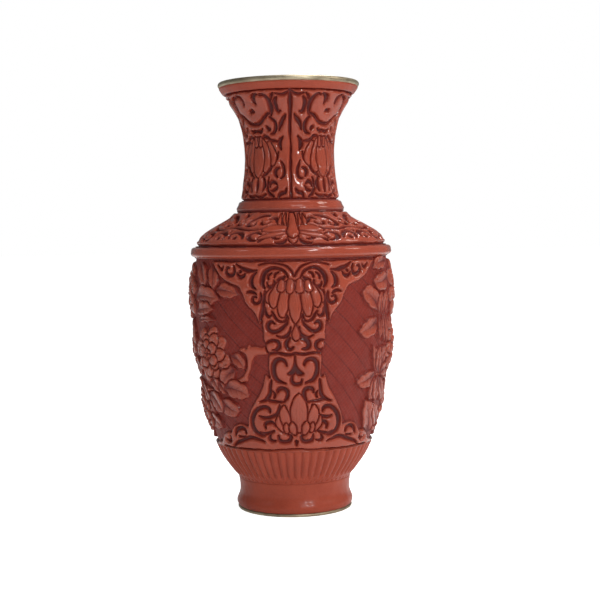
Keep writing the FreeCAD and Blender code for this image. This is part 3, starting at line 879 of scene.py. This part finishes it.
def build_belly(red):
    """The belly: scroll strips at the front and the back, and peony panels between them."""
    zone = Zone(BELLY, BELLY.s_at(3), BELLY.s_at(9))
    turn, around = zone.turn, math.pi * zone.arc_radius
    x = zone.arc() + wander(turn, zone.height, 0.3)
    y = zone.height + wander(turn, zone.height, 0.25, 1.7)
    strip = Carving(np.where(np.abs(x) > around / 2, x - np.sign(x) * around, x), y)
    carve_strip(strip, strip.x)
    panel = Carving(np.where(x > 0, x - around / 2, x + around / 2), y)
    half = (around / 2).ravel()
    carve_panel(panel, panel.x + half, panel.x - half)
    beyond = strip.edge < -0.2
    panel.inside = np.minimum(panel.inside, -strip.edge - 0.7)
    inside = np.where(beyond, panel.inside, strip.inside)
    inside = zone.snap(inside.reshape(x.shape)).ravel()
    strip.inside = panel.inside = inside
    # Beside the strip the ground sinks to the floor, a real channel, and the colour ramp paints it dark
    # there as painted shade.
    ground = lattice(panel.x, panel.y) * np.clip(-strip.edge / 0.8, 0, 1)
    relief = np.where(beyond, np.maximum(standing(panel), ground), standing(strip))
    fade = np.clip((-strip.edge - 1) / 3, 0, 1)
    rise = CARVED_DEPTH * (relief - 1) + panel.mound * fade + wander(turn, y, 0.1, 0.6).ravel()
    lay(zone, rise.reshape(x.shape), relief.reshape(x.shape), red, [
        ("front_strip_carving", -1 / 8, 1 / 8, ["front_scroll_strip", "belly_ground_coat"]),
        ("right_panel_carving", 1 / 8, 3 / 8, ["right_peony_relief", "belly_ground_coat"]),
        ("back_strip_carving", 3 / 8, 5 / 8, ["back_scroll_strip", "belly_ground_coat"]),
        ("left_panel_carving", 5 / 8, 7 / 8, ["left_peony_relief", "belly_ground_coat"]),
    ])


def build_repeat(red, name, zone, carve, width, y):
    """A zone whose carving repeats four times round, mirrored about each repeat's middle."""
    turn = zone.turn - FRONT + wander(zone.turn, y, 0.3) / zone.arc_radius
    carving = Carving(folded(turn) * width, y + wander(zone.turn, y, 0.25, 2.3), REPEAT_WIDEN)
    carve(carving, carving.x)
    shape = zone.turn.shape
    carving.inside = zone.snap(carving.inside.reshape(shape)).ravel()
    relief = standing(carving).reshape(shape)
    rise = CARVED_DEPTH * (relief - 1) + wander(zone.turn, y, 0.1, 0.9)
    nodes = [name + "_relief", name + "_ground_coat"]
    lay(zone, rise, relief, red, [
        (f"front_{name}_carving", -1 / 4, 1 / 4, nodes),
        (f"back_{name}_carving", 1 / 4, 3 / 4, nodes),
    ])


def build_shoulder(red):
    zone = Zone(UPPER, UPPER.s_at(0), UPPER.s_at(4))
    build_repeat(red, "shoulder", zone, carve_shoulder, SHOULDER_WIDTH, zone.s - UPPER.s_at(0))


def build_neck(red):
    zone = Zone(UPPER, UPPER.s_at(6), UPPER.s_at(13))
    build_repeat(red, "neck", zone, carve_neck, NECK_WIDTH, zone.height)


RIBS = 60
RIB_FOOT, RIB_TOP = 22.4, 39.4
RIB_COLUMNS = 14  # grid columns across a rib
RIB_ROUND = 2.2  # how far in from its edges a rib is round
DOTS = 20.2  # height of the dotted line under the ribs
EDGE = 40.2  # from here up the band stands level with the belly


def build_flutes(red):
    """Rounded upright ribs that fade out over a dotted line above the foot."""
    zone = Zone(BELLY, 0, BELLY.s_at(3), 0.5, RIBS * RIB_COLUMNS)
    pitch = 2 * math.pi / RIBS
    x = np.abs(zone.turn % pitch - pitch / 2) * zone.arc_radius
    carving = Carving(x, zone.height)
    foot_half, top_half = [math.pi / RIBS * BELLY.r[np.argmin(np.abs(BELLY.z - z))] - 0.14
                           for z in (RIB_FOOT, RIB_TOP)]
    carving.add([(0, RIB_FOOT, foot_half), (0, RIB_TOP, top_half)], carving.x)
    across = np.clip(carving.inside.reshape(x.shape) / RIB_ROUND, 0, 1)
    relief = across * (2 - across)
    relief = np.maximum(relief, 0.7 * dome((RIB_FOOT + 1.2 - zone.height) / 2.4))
    relief -= 0.4 * dome((0.7 - np.hypot(x, zone.height - DOTS)) / 0.7)
    relief = np.maximum(relief, 0.9 * dome((zone.height - EDGE) / 0.5))
    rise = 1.05 * (relief - 1) + wander(zone.turn, zone.height, 0.05)
    # The colour's relief is squeezed to 0.55-1: painted shade in the grooves between ribs and painted
    # light on their crowns.
    lay(zone, rise, 0.55 + 0.45 * relief, red, [("rib_ring", 0, 1, ["fluted_band"])])


def build_band(red, name, replaced, outline, first, last, proud, groove, round_off, depth=0.9):
    """A smooth moulded ring between two stations of an outline.

    It has a groove along each edge and a rounded face between them, which stands proud of the
    outline.
    """
    low, high = outline.s_at(first), outline.s_at(last)
    zone = Zone(outline, low, high, 0.5)
    edge = np.minimum(zone.s - low, high - zone.s)
    face = dome((edge - groove) / round_off)
    rise = -depth + (depth + proud) * face + wander(zone.turn, zone.s, 0.07, 0.4)
    # This relief sets only colour and roughness: the grooves get painted shade (deeper grooves darker),
    # and the face is painted darker towards its rounded edges and lighter on its crown.
    groove_shade_level = 0.25 if depth > 0.5 else 0.6
    relief = np.where(edge < groove, groove_shade_level, 0.5 + 0.5 * face)
    lay(zone, rise, relief, red, [(name, 0, 1, [replaced])])


def build_bands(glossy, dull):
    build_band(glossy, "shoulder_moulding", "shoulder_ring_band", BELLY, 9, 10, 1.7, 0.5, 1.9)
    build_band(glossy, "neck_moulding", "neck_ring_band", UPPER, 4, 6, 0.45, 0.5, 1.6)
    build_band(dull, "lip_moulding", "lip_band", UPPER, 13, -1, 0.0, 0.2, 0.9)
    build_band(dull, "foot_moulding", "foot_band", FOOT, 0, -1, 0.0, 0.05, 0.7, depth=0.2)


def paint(names, material):
    for name in names:
        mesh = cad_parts[name].data
        mesh.materials.clear()
        mesh.materials.append(material)


def aim(thing, place, target, roll=0.0):
    way = Vector(target) - Vector(place)
    thing.location = place
    thing.rotation_euler = way.to_track_quat("-Z", "Y").to_euler()
    thing.rotation_euler.rotate_axis("Z", roll)


CAMERA_SIDE = 0.00496
CAMERA_PLACE = (CAMERA_SIDE, -0.755, 0.1704)
CAMERA_TARGET = (CAMERA_SIDE, 0, 0.1251)
CAMERA_ROLL = math.radians(-0.93)


def build_camera():
    lens = bpy.data.cameras.new("camera")
    lens.lens = 75
    lens.sensor_width = 36
    camera = add_object("camera", lens)
    aim(camera, CAMERA_PLACE, CAMERA_TARGET, CAMERA_ROLL)
    bpy.context.scene.camera = camera


def camera_or_light(tree, seen, lit):
    """A strength that the camera sees, and another that falls on the vase."""
    strength = node(tree, "MapRange", Value=node(tree, "LightPath").outputs["Is Camera Ray"])
    feed(tree, strength, {"To Min": lit, "To Max": seen})
    return strength.outputs["Result"]


def build_backdrop():
    """A white backdrop and a pale floor, both dimmer as light than as seen."""
    world = bpy.data.worlds.new("studio")
    world.use_nodes = True
    tree = world.node_tree
    feed(tree, tree.nodes["Background"], {"Color": (1, 1, 1, 1),
                                          "Strength": camera_or_light(tree, 1.0, 0.2)})
    bpy.context.scene.world = world
    bpy.ops.mesh.primitive_plane_add(size=14, location=(0, 0, 0))
    floor = bpy.context.object
    floor.name = "floor"
    pale, tree, surface = shader("pale_floor")
    feed(tree, surface, {"Base Color": (0.85, 0.85, 0.85, 1), "Roughness": 0.8,
                         "Emission Color": (1, 1, 1, 1),
                         "Emission Strength": camera_or_light(tree, 0.95, 0.16)})
    floor.data.materials.append(pale)


WHITE, WARM = (1, 1, 1), (1, 0.9, 0.8)
# name: place, height on the axis it is aimed at, size, power and colour
LAMPS = {
    "top": ((0.3, -0.3, 1.5), 0.12, (0.8, 0.8), 6.8, WHITE),
    "glint": ((0.32, 0.5, 1.4), 0.16, (0.2, 0.2), 8, WHITE),
    "key": ((0.56, -1.06, 0.6), 0.15, (0.14, 0.1), 5, WHITE),
    "side": ((1.0, -0.15, 0.7), 0.13, (0.3, 0.4), 3.2, WARM),
    "left": ((-1.04, -0.6, 0.75), 0.15, (0.08, 0.3), 0.6, WHITE),
}


def build_stage():
    bpy.context.scene.view_settings.view_transform = "Standard"
    build_backdrop()
    for name, (place, target, size, power, colour) in LAMPS.items():
        light = bpy.data.lights.new(name, "AREA")
        light.shape = "RECTANGLE"
        light.size, light.size_y = size
        light.energy = power
        light.color = colour
        aim(add_object(name, light), place, (0, 0, target))


def main():
    carved = lacquer_material("carved_lacquer", 0.17, 0.2)
    build_belly(carved)
    build_shoulder(carved)
    build_neck(carved)
    plain = lacquer_material("plain_lacquer", 0.38, 0.03)
    build_flutes(plain)
    build_bands(carved, plain)
    paint(["foot_rim_ring", "mouth_rim_ring"],
          metal_material("brass", (0.5, 0.43, 0.3), (0.3, 0.25, 0.17), 0.36))
    paint(["foot_collar", "base_plate", "belly_shell", "shoulder_shell", "neck_shell"],
          metal_material("copper", (0.62, 0.32, 0.2), (0.34, 0.16, 0.1), 0.3))
    paint(["lining_enamel", "base_enamel"], enamel_material())
    build_stage()
    build_camera()


main()
